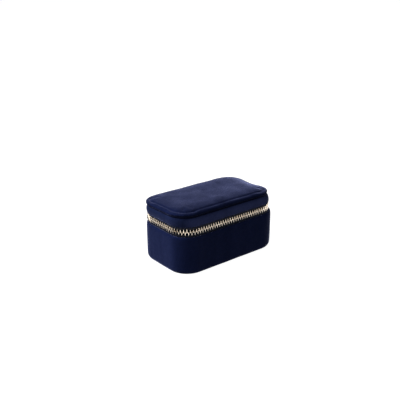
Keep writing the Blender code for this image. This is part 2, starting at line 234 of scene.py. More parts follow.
def cushion(name, profile, material, lean=False):
    """A flat-bottomed closed form with the plan outline. profile is in mm, from the bottom's edge up."""
    rings, inner = plate_rings([(inset * MM, height * MM) for inset, height in profile])
    mesh = bmesh.new()
    rows = []
    for ring in [*rings, *inner]:
        rows.append([mesh.verts.new(p) for p in ring])
    count = len(rows[0])
    for low, high in zip(rows, rows[1:]):
        for i in range(count):
            n = (i + 1) % count
            mesh.faces.new((low[i], low[n], high[n], high[i]))
    bmesh.ops.remove_doubles(mesh, verts=rows[-1], dist=0.02 * MM)
    mesh.faces.new([v for v in reversed(rows[0]) if v.is_valid])
    bmesh.ops.dissolve_degenerate(mesh, edges=mesh.edges, dist=0.01 * MM)
    return new_piece(name, mesh, material, lean)


def carried(name, node, material):
    """A copy of a CAD node that leans with the lid."""
    piece = dressed(name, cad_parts[node].data.copy(), material, lean=True, sharp=30)
    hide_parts(node)
    return piece


def evaluated(piece):
    """Puts the result of a piece's modifiers in its mesh."""
    graph = bpy.context.evaluated_depsgraph_get()
    data = bpy.data.meshes.new_from_object(piece.evaluated_get(graph))
    piece.modifiers.clear()
    piece.data = data
    return piece


# Materials


class Nodes:
    """Short names for the nodes that the materials are made of."""

    def __init__(self, name):
        self.material = bpy.data.materials.new(name)
        self.material.use_nodes = True
        self.tree = self.material.node_tree
        self.shader = self.tree.nodes["Principled BSDF"]
        coordinates = self.tree.nodes.new("ShaderNodeTexCoord").outputs
        self.place, self.normal = coordinates["Object"], coordinates["Normal"]

    def set(self, **values):
        for name, value in values.items():
            self.shader.inputs[name.replace("_", " ")].default_value = value

    def link(self, output, name):
        self.tree.links.new(output, self.shader.inputs[name])

    def noise(self, scale, detail=3.0, roughness=0.5, stretch=None, distortion=0.0):
        node = self.tree.nodes.new("ShaderNodeTexNoise")
        node.inputs["Scale"].default_value = scale
        node.inputs["Detail"].default_value = detail
        node.inputs["Roughness"].default_value = roughness
        node.inputs["Distortion"].default_value = distortion
        self.tree.links.new(self.stretched(stretch), node.inputs["Vector"])
        return node.outputs["Fac"]

    def stretched(self, stretch):
        if stretch is None:
            return self.place
        mapping = self.tree.nodes.new("ShaderNodeMapping")
        mapping.inputs["Scale"].default_value = stretch
        self.tree.links.new(self.place, mapping.inputs["Vector"])
        return mapping.outputs["Vector"]

    def wave(self, scale, direction, distortion=0.0):
        node = self.tree.nodes.new("ShaderNodeTexWave")
        node.bands_direction = direction
        node.inputs["Scale"].default_value = scale
        node.inputs["Distortion"].default_value = distortion
        self.tree.links.new(self.place, node.inputs["Vector"])
        return node.outputs["Fac"]

    def ramp(self, value, *stops):
        node = self.tree.nodes.new("ShaderNodeValToRGB")
        elements = node.color_ramp.elements
        for _ in range(len(stops) - 2):
            elements.new(0.5)
        for element, (position, colour) in zip(elements, stops):
            element.position = position
            element.color = (*colour, 1) if len(colour) == 3 else colour
        self.tree.links.new(value, node.inputs["Fac"])
        return node.outputs["Color"]

    def range(self, value, low, high, start=0.0, end=1.0):
        node = self.tree.nodes.new("ShaderNodeMapRange")
        node.inputs["From Min"].default_value = start
        node.inputs["From Max"].default_value = end
        node.inputs["To Min"].default_value = low
        node.inputs["To Max"].default_value = high
        self.tree.links.new(value, node.inputs["Value"])
        return node.outputs["Result"]

    def math(self, operation, first, second):
        node = self.tree.nodes.new("ShaderNodeMath")
        node.operation = operation
        for socket, value in zip(node.inputs, (first, second)):
            if isinstance(value, float):
                socket.default_value = value
            else:
                self.tree.links.new(value, socket)
        return node.outputs["Value"]

    def facing(self, axis, away, towards, least=0.0):
        """1 where the normal's part along the axis is towards, falling to least where it is away."""
        parts = self.tree.nodes.new("ShaderNodeSeparateXYZ")
        self.tree.links.new(self.normal, parts.inputs["Vector"])
        return self.range(parts.outputs[axis], least, 1.0, start=away, end=towards)

    def mix(self, factor, first, second):
        node = self.tree.nodes.new("ShaderNodeMix")
        node.data_type = "RGBA"
        self.tree.links.new(factor, node.inputs["Factor"])
        self.tree.links.new(first, node.inputs["A"])
        self.tree.links.new(second, node.inputs["B"])
        return node.outputs["Result"]

    def bump(self, height, strength, distance):
        node = self.tree.nodes.new("ShaderNodeBump")
        node.inputs["Strength"].default_value = strength
        node.inputs["Distance"].default_value = distance
        self.tree.links.new(height, node.inputs["Height"])
        self.link(node.outputs["Normal"], "Normal")


def velvet_material(name, tint=(1, 1, 1), painted_front_light_tint=None, sheen=1.0, painted_underside_shade=False):
    """Cut pile: dark base, bluish sheen, streaks where the nap lies another way, and a fine grain of tufts.

    A tint for the front paints light: a lighter pile colour is mixed in where the surface faces the front.
    The last option paints shade: darker pile and less sheen where the surface faces down."""
    made = Nodes(name)
    nap = made.noise(90, detail=4, roughness=0.6, stretch=(1, 1, 0.45), distortion=0.6)
    streaks = made.noise(75, detail=2, roughness=0.5, stretch=(1, 1, 0.1), distortion=0.3)
    tufts = made.noise(2600, detail=2, roughness=0.7)
    crushed = made.noise(480, detail=3, roughness=0.6)
    shades = [(0.0032, 0.0058, 0.0250), (0.0072, 0.0118, 0.0480)]
    shades += [(0.0026, 0.0046, 0.0200), (0.0088, 0.0145, 0.0560)]
    broad = made.math("ADD", made.math("MULTIPLY", nap, 0.38), made.math("MULTIPLY", streaks, 0.37))
    lie = made.math("ADD", broad, made.math("MULTIPLY", crushed, 0.25))

    def pile(tint):
        tinted = [tuple(np.multiply(shade, tint)) for shade in shades]
        tone = made.ramp(lie, (0.36, tinted[0]), (0.64, tinted[1]))
        deep = made.ramp(tufts, (0.35, tinted[2]), (0.65, tinted[3]))
        return made.mix(made.range(tufts, 0.2, 0.6), tone, deep)

    colour = pile(tint)
    # Painted light: a lighter pile where the normal faces the front
    if painted_front_light_tint:
        colour = made.mix(made.facing("Y", -0.7, -1.0), colour, pile(painted_front_light_tint))
    lustre = made.range(lie, 0.4 * sheen, 1.3 * sheen, start=0.3, end=0.7)
    # Painted shade: darker pile and less sheen where the normal faces down
    if painted_underside_shade:
        painted_light_from_above = made.facing("Z", -0.3, 0.8, least=0.25)
        colour = made.mix(painted_light_from_above, pile((0.3, 0.3, 0.3)), colour)
        lustre = made.math("MULTIPLY", lustre, painted_light_from_above)
    made.link(colour, "Base Color")
    made.link(made.range(nap, 0.78, 0.98), "Roughness")
    made.link(lustre, "Sheen Weight")
    made.set(Sheen_Roughness=0.32, Sheen_Tint=(0.285, 0.32, 0.60, 1), Specular_IOR_Level=0.02)
    coarse = made.math("ADD", made.math("MULTIPLY", nap, 1.6), made.math("MULTIPLY", crushed, 0.8))
    made.bump(made.math("ADD", coarse, tufts), 0.45, 0.12 * MM)
    return made.material


def gold_material():
    """Plated metal, polished on its faces, with fine scratches and patches of duller tone."""
    made = Nodes("zip_gold")
    scratches = made.noise(1400, detail=5, roughness=0.7, stretch=(1, 1, 0.15))
    worn = made.noise(220, detail=3)
    colour = made.ramp(worn, (0.3, (0.72, 0.62, 0.51)), (0.7, (0.95, 0.87, 0.77)))
    made.link(colour, "Base Color")
    made.link(made.range(scratches, 0.12, 0.34), "Roughness")
    made.set(Metallic=1.0)
    made.bump(scratches, 0.12, 0.02 * MM)
    return made.material


def woven_material(name, dark, light, coarseness, sheen=0.25, relief=0.5):
    """A plain weave from crossed waves, about 0.6 of its coarseness apart, with slubs in its colour."""
    made = Nodes(name)
    threads = [made.wave(0.5 / coarseness, direction, distortion=0.4) for direction in ("X", "Y", "Z")]
    weave = made.math("ADD", made.math("ADD", threads[0], threads[1]), threads[2])
    slubs = made.noise(600, detail=4, roughness=0.65, stretch=(1, 1, 0.3))
    mixed = made.math("ADD", made.range(weave, 0.0, 0.3), made.math("MULTIPLY", slubs, 0.6))
    made.link(made.ramp(mixed, (0.25, dark), (0.95, light)), "Base Color")
    made.link(made.range(slubs, 0.7, 0.9), "Roughness")
    made.set(Sheen_Weight=sheen, Sheen_Roughness=0.4, Sheen_Tint=(0.4, 0.45, 0.8, 1), Specular_IOR_Level=0.2)
    made.bump(weave, relief, 0.06 * MM)
    return made.material


def flock_material(name, dark, light):
    """Short flocked pile with pressed patches."""
    made = Nodes(name)
    pile = made.noise(3200, detail=2, roughness=0.7)
    pressed = made.noise(70, detail=3)
    both = made.math("ADD", made.math("MULTIPLY", pile, 0.5), made.math("MULTIPLY", pressed, 0.5))
    made.link(made.ramp(both, (0.3, dark), (0.7, light)), "Base Color")
    made.link(made.range(pressed, 0.82, 0.98), "Roughness")
    made.set(Sheen_Weight=0.4, Sheen_Roughness=0.4, Sheen_Tint=(0.4, 0.45, 0.8, 1), Specular_IOR_Level=0.1)
    made.bump(both, 0.4, 0.12 * MM)
    return made.material


def satin_material():
    """Fine satin: long floats along X, a soft lustre and slight unevenness."""
    made = Nodes("satin_navy")
    floats = made.noise(500, detail=4, roughness=0.6, stretch=(0.12, 1, 1))
    cloudy = made.noise(60, detail=2)
    both = made.math("ADD", made.math("MULTIPLY", floats, 0.6), made.math("MULTIPLY", cloudy, 0.4))
    made.link(made.ramp(both, (0.3, (0.012, 0.017, 0.060)), (0.7, (0.026, 0.036, 0.115))), "Base Color")
    made.link(made.range(floats, 0.36, 0.55), "Roughness")
    made.set(Sheen_Weight=0.2, Sheen_Roughness=0.3, Sheen_Tint=(0.4, 0.48, 0.95, 1))
    made.set(Specular_IOR_Level=0.35, Specular_Tint=(0.45, 0.55, 1.0, 1))
    made.bump(floats, 0.25, 0.04 * MM)
    return made.material


def board_material():
    """Grey pressed board with flecks."""
    made = Nodes("greyboard")
    fibres = made.noise(900, detail=6, roughness=0.75, distortion=1.0)
    made.link(made.ramp(fibres, (0.3, (0.20, 0.185, 0.16)), (0.7, (0.36, 0.34, 0.30))), "Base Color")
    made.link(made.range(fibres, 0.8, 0.95), "Roughness")
    made.bump(fibres, 0.3, 0.08 * MM)
    return made.material


VELVET = velvet_material("velvet_navy")
# A lighter copy of the velvet, lighter again where it faces the front: painted light on the lid's band
PAINTED_LIT_VELVET = velvet_material("velvet_navy_painted_lit", (1.35, 1.3, 1.05), (5.3, 4.2, 3.0), sheen=0.85)
# The panel's velvet, with painted shade where its rolled edge faces down
PANEL_VELVET = velvet_material("velvet_navy_panel", painted_underside_shade=True)
# A darker copy of the velvet with less sheen: painted shade in the gap under the panel's rim
PAINTED_SHADE_VELVET = velvet_material("velvet_navy_painted_shade", (0.4, 0.4, 0.4), sheen=0.25)
GOLD = gold_material()
TAPE = woven_material("zip_tape_navy", (0.002, 0.003, 0.008), (0.007, 0.009, 0.022), 0.35 * MM, sheen=0.06)
LINING = woven_material("lining_navy", (0.008, 0.011, 0.032), (0.022, 0.028, 0.070), 0.4 * MM)
ELASTIC = woven_material("elastic_navy", (0.005, 0.006, 0.017), (0.016, 0.020, 0.050), 0.7 * MM, relief=0.8)
THREAD = woven_material("thread_navy", (0.006, 0.008, 0.022), (0.015, 0.020, 0.050), 0.15 * MM, sheen=0.1)
FLOCK = flock_material("nest_velour_navy", (0.008, 0.011, 0.035), (0.020, 0.026, 0.070))
SATIN = satin_material()
BOARD = board_material()


# Padded forms


SIM_SCALE = 5  # the cloth is simulated this much larger, where its default stiffness suits it
SIM_VOXEL = 1.1 * MM
SIM_FRAMES = 20
NEST_VOXEL = 0.9 * MM


def inflated(piece, pinned, pressure, most):
    """Swells a closed form as a stuffed one does. pinned(normals) says which points stay.

    No point moves further than most."""
    remesh = piece.modifiers.new("Even_faces", "REMESH")
    remesh.mode = "VOXEL"
    remesh.voxel_size = SIM_VOXEL
    remesh.use_smooth_shade = True
    evaluated(piece)
    data = piece.data
    start = vertex_rows(data)
    held = np.flatnonzero(pinned(vertex_rows(data, "normal")))
    data.vertices.foreach_set("co", (start * SIM_SCALE).ravel())
    group = piece.vertex_groups.new(name="held")
    group.add([int(i) for i in held], 1.0, "REPLACE")
    cloth = piece.modifiers.new("Cloth", "CLOTH")
    cloth.settings.vertex_group_mass = "held"
    cloth.settings.use_pressure = True
    cloth.settings.uniform_pressure_force = pressure
    cloth.settings.effector_weights.gravity = 0
    cloth.point_cache.frame_end = SIM_FRAMES
    for number in range(1, SIM_FRAMES + 1):
        bpy.context.scene.frame_set(number)
    evaluated(piece)
    bpy.context.scene.frame_set(1)
    piece.vertex_groups.clear()
    data = piece.data
    moved = vertex_rows(data) / SIM_SCALE - start
    length = np.linalg.norm(moved, axis=1, keepdims=True)
    start = start + moved * np.minimum(1, most / np.maximum(length, 1e-9))
    data.vertices.foreach_set("co", start.ravel())
    return piece


# Base


def make_base():
    turned_under = [
        (BOTTOM_EDGE_RADIUS * (1 - math.sin(a)), BOTTOM_EDGE_RADIUS * (1 - math.cos(a)))
        for a in np.radians(range(0, 91, 15))
    ]
    outer = [*turned_under, (-0.12, 9), (-0.2, 17), (-0.18, 25), (-0.15, 29.5)]
    outer += [(-0.02, 31.2), (0.3, 32.2), (0.9, 32.7)]
    inner = [(1.6, 32.75), (1.95, 32.3), (1.95, 31), (1.8, 6), (2.1, 3.8), (2.9, 2.5), (4.2, 1.8)]
    section = softened([*outer, *inner])
    rough = {"uneven": 0.16 * MM, "pucker": 0.07 * MM, "lump": 14 * MM}
    cover = swept("base_velvet", stations(), section, VELVET, **rough)
    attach(cover, "base")
    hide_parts("base_wall_cover")

    bottom = cushion("base_bottom_velvet", [(5.2, 0.05), (4.55, 0.3), (4.6, 0.75), (5.2, 1.0)], VELVET)
    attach(bottom, "base")
    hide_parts("base_bottom_cover")

    wall = [(5.3, 5.4), (5.3, 31.6), (5.1, 32.5), (4.5, 32.75), (3.1, 32.76)]
    wall += [(2.8, 32.66), (3.1, 32.56), (4.3, 32.54), (4.62, 32.2), (4.65, 5.4)]
    lining = swept("base_lining", stations(), softened(wall), LINING, uneven=0.06 * MM, lump=6 * MM)
    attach(lining, "base")
    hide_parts("base_wall_lining")

    floor = cushion("floor_lining", [(6.0, 5.35), (5.65, 5.5), (5.65, 5.85), (6.0, 6.0)], LINING)
    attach(floor, "base")
    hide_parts("base_floor_lining")

    pad = cushion("floor_pad", [(5.2, 3.0), (4.7, 3.4), (4.65, 4.2), (5.2, 4.85), (9, 5.0)], FLOCK)
    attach(pad, "base")
    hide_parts("base_floor_pad")


def make_nest():
    """The flocked block that holds the earbuds' case and the tips, with soft edges round its wells."""
    nest = dressed("nest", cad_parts["earbud_nest"].data.copy(), FLOCK)
    remesh = nest.modifiers.new("Even_faces", "REMESH")
    remesh.mode = "VOXEL"
    remesh.voxel_size = NEST_VOXEL
    smooth = nest.modifiers.new("Soft_edges", "SMOOTH")
    smooth.factor = 0.6
    smooth.iterations = 5
    evaluated(nest)
    nest.data.shade_smooth()
    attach(nest, "base")
    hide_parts("earbud_nest")


# Lid


SEAM_INSET = 5.2 * MM  # of the seam that presses the panel's rim off from its crown
SEAM_WIDTH = 0.9 * MM
SEAM_DEPTH = 0.42 * MM
PANEL_SIDE_TOP = 51 * MM  # above this the panel's upper face begins
PANEL_PRESSURE, PANEL_SWELL = 4.0, 0.6 * MM


def make_lid():
    outer = [(1.85, 41.7), (1.65, 41.35), (1.35, 41.35), (1.2, 41.8), (1.1, 42.8), (1.12, 44.3), (1.3, 45.6)]
    outer += [(1.7, 46.8), (2.3, 47.8), (2.9, 48.35), (3.6, 48.45), (4.6, 48.45), (4.7, 48.3)]
    inner = [(4.6, 48.15), (3.7, 48.1), (3.0, 47.5), (2.35, 46.6), (1.9, 45.4), (1.75, 44.2), (1.8, 42.8)]
    section = softened([*outer, *inner])
    rough = {"uneven": 0.16 * MM, "pucker": 0.06 * MM, "lump": 13 * MM}
    # The lid's band takes the velvet with painted light
    cover = swept("lid_velvet", stations(), section, PAINTED_LIT_VELVET, lean=True, **rough)
    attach(cover, "lid")
    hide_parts("lid_wall_cover")

    profile = [(5.2, 49.0), (3.4, 48.8), (2.2, 48.95), (1.5, 49.7), (1.2, 50.6), (1.5, 51.45), (2.4, 52.0)]
    profile += [(4.0, 52.25), (6.0, 52.35), (9.0, 52.85), (12.0, 53.2), (16.0, 53.45)]
    # Painted shade on the panel's velvet where its rolled edge faces down
    panel = cushion("lid_panel", profile, PANEL_VELVET)
    inflated(panel, lambda normals: normals[:, 2] < 0.2, PANEL_PRESSURE, PANEL_SWELL)
    finish_panel(panel)
    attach(panel, "lid")
    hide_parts("lid_top_cover", "lid_top_foam")

    fold = [(2.55, 47.8), (3.3, 48.1), (3.93, 48.4), (3.93, 49.0)]
    fold += [(3.93, 49.6), (3.2, 49.7), (2.55, 49.6), (2.5, 48.8)]
    rough = {"uneven": 0.03 * MM, "lump": 5 * MM}
    # The hem under the panel's rim takes the darker velvet: painted shade
    hem = swept("lid_panel_hem", stations(), softened(fold), PAINTED_SHADE_VELVET, lean=True, **rough)
    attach(hem, "lid")

    wall = [(5.3, 43.4), (5.5, 44.6), (6.2, 46.1), (6.9, 46.9), (6.5, 47.0), (5.5, 46.1)]
    wall += [(4.8, 44.6), (4.65, 43.4), (4.62, 41.8), (4.3, 41.48), (3.1, 41.46)]
    wall += [(2.8, 41.36), (3.1, 41.26), (4.5, 41.26), (5.1, 41.5), (5.3, 42.2)]
    rough = {"uneven": 0.05 * MM, "lump": 6 * MM}
    lining = swept("lid_lining", stations(), softened(wall), LINING, lean=True, **rough)
    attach(lining, "lid")
    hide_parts("lid_wall_lining")

    top = cushion("lid_ceiling", [(6.6, 48.15), (6.05, 48.0), (6.05, 47.65), (6.6, 47.5)], LINING, lean=True)
    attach(top, "lid")
    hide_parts("lid_top_lining")

    for name, node in (("lid_board", "lid_wall_board"), ("lid_panel_board", "lid_top_board")):
        board = carried(name, node, BOARD)
        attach(board, "lid")


def plan_insets(points):
    """How far inside the plan outline each point is."""
    corner = np.abs(points[:, :2]) - [LENGTH / 2 - CORNER_RADIUS, WIDTH / 2 - CORNER_RADIUS]
    beyond = np.linalg.norm(np.maximum(corner, 0), axis=1)
    return CORNER_RADIUS - beyond - np.minimum(corner.max(axis=1), 0)


def finish_panel(piece):
    """The panel smooth and finer, with its seam pressed in inside the rim, and leaned with the lid."""
    smooth = piece.modifiers.new("Soft", "SMOOTH")
    smooth.iterations = 4
    divide = piece.modifiers.new("Finer", "SUBSURF")
    divide.levels = divide.render_levels = 1
    evaluated(piece)
    data = piece.data
    points = vertex_rows(data)
    from_seam = (plan_insets(points) - SEAM_INSET) / SEAM_WIDTH
    upper = np.clip((points[:, 2] - PANEL_SIDE_TOP) / MM, 0, 1)
    pucker = 1 + 0.35 * wrinkle(points, 3.5 * MM)
    points[:, 2] -= SEAM_DEPTH * pucker * np.exp(-(from_seam**2)) * upper
    points[:, 2] += 0.12 * MM * wrinkle(points, 11 * MM, seed=3.0) * upper
    points += 0.3 * MM * np.stack([wrinkle(points, 16 * MM, seed) for seed in (5.0, 9.0, 13.0)], axis=1)
    data.vertices.foreach_set("co", leaned(points).ravel())
    data.shade_smooth()


POCKET_HEIGHT, HALF_CLOTH = 46.75 * MM, 0.12 * MM
ELASTIC_HEIGHT, ELASTIC_STEPS = 46.7 * MM, 220


def make_pocket():
    """The gathered satin pocket under the lid."""
    low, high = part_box("lid_pocket")
    mesh = bmesh.new()
    across, deep = 150, 44
    tops, bottoms = [], []
    radius = CORNER_RADIUS - (LENGTH / 2 - high.x)
    centre_y = high.y - radius
    for j in range(deep + 1):
        y = low.y + (high.y - low.y) * j / deep
        half = high.x
        if y > centre_y:
            half = high.x - radius + math.sqrt(max(0.0, radius**2 - (y - centre_y) ** 2))
        row = []
        for i in range(across + 1):
            x = -half + 2 * half * i / across
            slack = math.exp(-j / deep * 3.2)
            gather = math.sin(x / (1.5 * MM) + 1.3 * noise.noise(Vector((x, y, 0)) / (9 * MM)))
            z = POCKET_HEIGHT - 0.3 * MM * slack * gather - 0.5 * MM * math.sin(math.pi * j / deep) * slack
            row.append((x, y, z))
        tops.append([mesh.verts.new((x, y, z + HALF_CLOTH)) for x, y, z in row])
        bottoms.append([mesh.verts.new((x, y, z - HALF_CLOTH)) for x, y, z in row])
    for grid in (tops, bottoms):
        for a, b in zip(grid, grid[1:]):
            for i in range(across):
                mesh.faces.new((a[i], a[i + 1], b[i + 1], b[i]))
    edges = [(tops[0], bottoms[0]), (tops[-1], bottoms[-1])]
    edges += [([r[k] for r in tops], [r[k] for r in bottoms]) for k in (0, -1)]
    for upper, lower in edges:
        for i in range(len(upper) - 1):
            mesh.faces.new((upper[i], upper[i + 1], lower[i + 1], lower[i]))
    bmesh.ops.remove_doubles(mesh, verts=mesh.verts, dist=0.005 * MM)
    pocket = new_piece("pocket", mesh, SATIN, lean=True)
    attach(pocket, "lid")
    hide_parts("lid_pocket")


def make_pocket_edge():
    """The pocket's ruched elastic."""
    low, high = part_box("pocket_elastic")
    mesh = bmesh.new()
    rings = []
    face = [(-2.5, 0.35), (-1.2, 0.5), (1.2, 0.5), (2.5, 0.35)]
    section = softened([(-2.5, -0.35), *face, (2.5, -0.35), (1.2, -0.5), (-1.2, -0.5)])
    for i in range(ELASTIC_STEPS + 1):
        x = low.x + (high.x - low.x) * i / ELASTIC_STEPS
        ruche = math.sin(x / (0.42 * MM) + 0.8 * noise.noise(Vector((x / (4 * MM), 0, 0))))
        ring = []
        for y, z in section:
            wide = y * (1 + 0.03 * ruche)
            thick = z * (1 + 0.22 * ruche * (1 - (y / 2.6) ** 2)) - 0.05
            ring.append(mesh.verts.new((x, (low.y + high.y) / 2 + wide * MM, ELASTIC_HEIGHT + thick * MM)))
        rings.append(ring)
    joined(mesh, rings)
    elastic = new_piece("pocket_edge", mesh, ELASTIC, lean=True)
    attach(elastic, "lid")
    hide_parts("pocket_elastic")


# Hinge


def make_hinge():
    """The velvet and the lining that wrap across the back, where the zip stops."""
    where = stations(*HINGE_ENDS)
    outer = [(0.75, 32.4), (0.45, 32.9), (0.35, 34.2), (0.7, 36.0), (0.95, 37.0)]
    outer += [(0.85, 38.2), (0.85, 40.0), (1.05, 41.2), (1.25, 41.75)]
    inner = [(1.85, 41.75), (1.75, 40.0), (1.7, 37.4), (1.5, 35.4), (1.35, 33.6), (1.45, 32.4)]
    section = softened([*outer, *inner])
    rough = {"uneven": 0.10 * MM, "lump": 5 * MM}
    strip = swept("hinge_velvet", where, section, VELVET, lean=True, closed=False, **rough)
    bend(strip)
    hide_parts("hinge_strip")

    outer = [(4.65, 32.7), (4.75, 35), (4.95, 37), (4.75, 39), (4.65, 41.3)]
    inner = [(5.25, 41.3), (5.4, 39), (5.6, 37), (5.4, 35), (5.25, 32.7)]
    section = softened([*outer, *inner])
    rough = {"uneven": 0.10 * MM, "lump": 4 * MM}
    lining = swept("hinge_lining_cloth", where, section, LINING, lean=True, closed=False, **rough)
    bend(lining)
    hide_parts("hinge_lining")


def bend(piece):
    """Puts the piece's transform into its mesh; it is attached to neither the base nor the lid."""
    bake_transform(piece)


# Zip


PITCH = 2.5 * MM
CHAIN_INSET = 2.35 * MM  # middle of the teeth
POST_OFFSET = 2.2 * MM  # from the slider's middle to its post
PARTED = 1.05 * MM  # of a tooth at the post or past it, from its meshed place
PARTING_RUN = 3.0  # mm over which the teeth part before the post
TAPE_LID_TOP = 44.8  # mm, where the upper tape is cut


def chain_places():
    """(x, y, facing) every half pitch along the middle of the teeth."""
    where = stations(*CHAIN_ENDS, spacing=0.25 * MM)
    points = placed(where, CHAIN_INSET, 0.0)
    run = distances(points)
    wanted = np.arange(PITCH / 2, run[-1] - PITCH / 4, PITCH / 2)
    columns = (points[:, 0], points[:, 1], where[:, 2])
    return np.column_stack([np.interp(wanted, run, values) for values in columns])


def tooth(mesh, place, side):
    """One tooth: legs clamped on the tape's cord, a waist, and a rounded head past the middle of the zip."""
    x, y, facing, lift = place
    leg = 3.1 if side > 0 else 2.8
    half = [(0.22, leg), (0.34, leg - 0.5), (0.40, 1.6), (0.40, 0.8)]
    half += [(0.46, 0.3), (0.50, 0.0), (0.42, -0.4), (0.2, -0.65)]
    deep = [0.5, 0.95, 1.08, 1.0, 0.98, 0.98, 0.82, 0.6]
    turn = Matrix.Translation((x, y, ZIP_HEIGHT + side * lift)) @ Matrix.Rotation(facing, 4, "Z")
    rings = []
    for (wide, height), thick in zip(half, deep):
        ring = []
        for k in range(8):
            angle = math.radians(22.5 + 45 * k)
            square = 1 / max(abs(math.cos(angle)), abs(math.sin(angle)))
            soft = 0.5 + 0.5 * square
            depth = thick * math.cos(angle) * soft * MM * 0.98
            width = wide * math.sin(angle) * soft * MM
            ring.append(mesh.verts.new(turn @ Vector((depth, width, side * height * MM))))
        rings.append(ring)
    joined(mesh, rings)


def make_zip():
    """The two rows of teeth, parted at the slider, and the two tapes."""
    slider_low, slider_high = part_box("slider_body")
    post_y = (slider_low.y + slider_high.y) / 2 + POST_OFFSET
    places = chain_places()
    bodies = {
        -1: ("base", "zip_teeth_base", "zip_teeth_lower"),
        1: ("lid", "zip_teeth_lid", "zip_teeth_upper"),
    }
    for side, (body, name, node) in bodies.items():
        mesh = bmesh.new()
        for x, y, facing in places[0::2] if side < 0 else places[1::2]:
            on_right_face = x > 0 and facing > math.radians(355)
            past = (y - post_y) / MM if on_right_face else -PARTING_RUN
            lift = PARTED * float(np.clip((past + PARTING_RUN) / PARTING_RUN, 0, 1))
            tooth(mesh, (x, y, facing, lift), side)
        row = new_piece(name, mesh, GOLD, lean=True)
        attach(row, body)
        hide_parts(node)

    where = stations(*TAPE_ENDS)
    profile = [(-0.2, 7.0), (-0.2, 0.9), (-0.35, 0.3), (-0.55, -0.5), (-0.4, -1.1), (0.0, -1.4)]
    half_section = [(inset, -drop) for inset, drop in profile]
    half_section += [(-inset, height) for inset, height in reversed(half_section[:-1])]
    lower = [(CHAIN_INSET / MM + inset, 33.7 + rise) for inset, rise in half_section]
    upper = [(inset, 2 * ZIP_HEIGHT / MM - height) for inset, height in lower]
    upper = [(inset, min(height, TAPE_LID_TOP)) for inset, height in upper]
    for name, section, body, node, height, board in (
        ("tape_base", lower, "base", "zip_tape_lower", 0.0085, "base_wall_board"),
        ("tape_lid", upper, "lid", "zip_tape_upper", 0.0052, "lid_board"),
    ):
        tape = swept(name, where, softened(section), TAPE, lean=True, closed=False)
        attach(tape, body)
        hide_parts(node)


STOP_DIRECTION = 41.5  # degrees from +X, and as much from -X for the stop at the other end
STOP_WIDTH, STOP_DEPTH, STOP_SINK, STOP_BEVEL = 1.6 * MM, 2.2 * MM, 0.15 * MM, 0.45 * MM


def make_stops():
    """The metal stops clamped on the tapes at the chain's ends."""
    bodies = {"zip_bottom_stop": "base", "zip_top_stop_lower": "base", "zip_top_stop_upper": "lid"}
    for node, body in bodies.items():
        low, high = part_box(node)
        centre = (low + high) / 2
        facing = math.radians(180 - STOP_DIRECTION if centre.x < 0 else STOP_DIRECTION)
        size = (STOP_DEPTH, STOP_WIDTH, high.z - low.z, 1)
        sunk = centre - Vector((math.cos(facing), math.sin(facing), 0)) * STOP_SINK
        place = Matrix.Translation(sunk) @ Matrix.Rotation(facing, 4, "Z") @ Matrix.Diagonal(size)
        mesh = bmesh.new()
        bmesh.ops.create_cube(mesh, size=1, matrix=place)
        bmesh.ops.bevel(mesh, geom=mesh.edges[:], offset=STOP_BEVEL, segments=3, profile=0.5, affect="EDGES")
        clamp = new_piece(node + "_clamp", mesh, GOLD, lean=True)
        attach(clamp, body)
        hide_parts(node)


LIP_SIZE = (1.1 * MM, 7.4 * MM, 0.75 * MM)
LIP_DEPTH, LIP_OFFSET, LIP_RISE = 1.45 * MM, 0.4 * MM, 3.45 * MM  # in from the plate's face, along Y, along Z
LIP_BEVEL = 0.2 * MM
LOOP_RADII = (0.75 * MM, 0.45 * MM)
POST_SIZE = (4.2 * MM, 1.2 * MM, 0.7 * MM)
# Of each plate, as (share of its outline, mm out from its inner face)
PLATE_STEPS = [(0.94, 0.0), (1.0, 0.22), (1.0, 0.62), (0.95, 0.86), (0.82, 1.0)]


def plate_outline(low, high):
    """The slider plate's outline in (y, z): wide shoulders towards +Y, and narrow at the other end."""
    length, tall = (high.y - low.y) / MM, (high.z - low.z) / MM
    points = [(-0.5, 0.36), (-0.42, 0.42), (-0.1, 0.46), (0.18, 0.5), (0.36, 0.5), (0.47, 0.42), (0.5, 0.25)]
    points += [(0.46, 0.08), (0.44, 0.0)]
    points += [(y, -z) for y, z in reversed(points[:-1])]
    return [(y * length * MM, z * tall * MM) for y, z in points]


